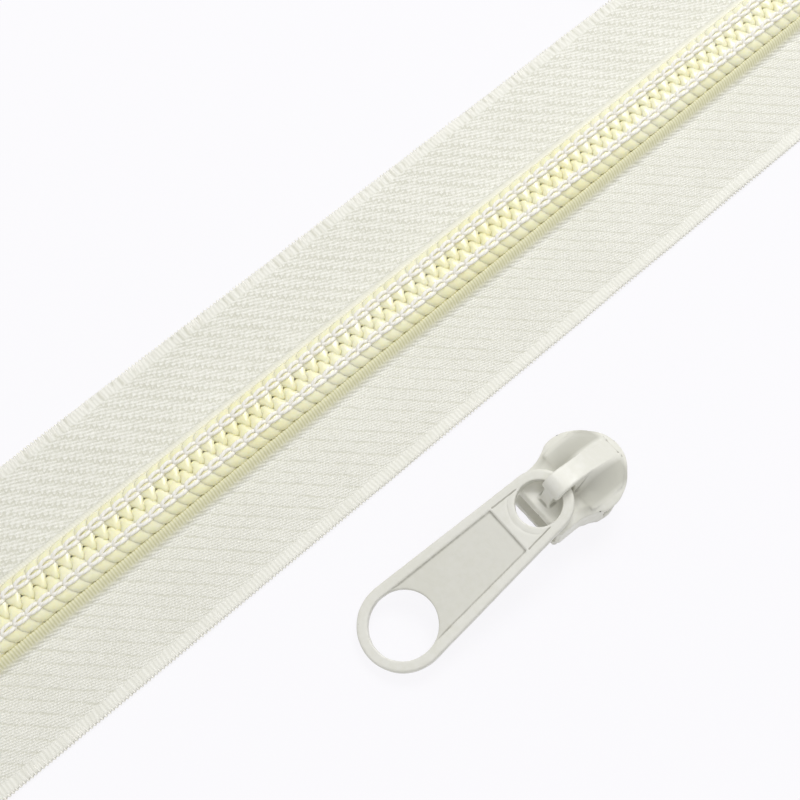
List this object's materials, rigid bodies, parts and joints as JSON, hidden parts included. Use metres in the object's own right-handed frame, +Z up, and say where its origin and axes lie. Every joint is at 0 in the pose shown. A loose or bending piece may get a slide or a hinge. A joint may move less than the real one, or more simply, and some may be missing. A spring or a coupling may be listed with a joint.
{
  "type": "zipper",
  "caption": "Closed coil zipper chain of two woven tapes with sewn-on coils, and a non-locking slider with a holed pull tab laid beside it.",
  "frame": {"origin": "middle of the closed chain, on the plane that the tapes lie on", "axes": "+X along the chain, +Y across it towards the far stringer, +Z up out of the coil's face"},
  "size_m": [0.1646, 0.0491, 0.0083],
  "materials": {
    "tape_cloth": "woven polyester tape, ivory",
    "coil_nylon": "semi-gloss cream monofilament",
    "core_cord": "soft flat filler cord",
    "sewing_thread": "white twisted polyester thread",
    "slider_paint": "satin off-white enamel on a zinc casting"
  },
  "bodies": {
    "near_stringer": {"near_tape": "tape_cloth", "near_coil": "coil_nylon", "near_core_cord": "core_cord", "near_chain_thread": "sewing_thread", "near_lock_thread": "sewing_thread"},
    "far_stringer": {"far_tape": "tape_cloth", "far_coil": "coil_nylon", "far_core_cord": "core_cord", "far_chain_thread": "sewing_thread", "far_lock_thread": "sewing_thread"},
    "slider": {"slider_body": "slider_paint"},
    "pull": {"pull_tab": "slider_paint"}
  },
  "joints": [
    {"name": "stringers_part", "type": "slide", "parent": "near_stringer", "child": "far_stringer", "axis": [0, 1, 0], "range_m": [0, 0.02]},
    {"name": "slider_run", "type": "slide", "parent": "near_stringer", "child": "slider", "axis": [1, 0, 0], "range_m": [-0.07, 0.07]},
    {"name": "pull_swing", "type": "hinge", "parent": "slider", "child": "pull", "pos_m": [-0.00215, -0.02899, 0.00655], "axis": [0.0262, 0.9997, 0], "range_deg": [0, 180]}
  ]
}
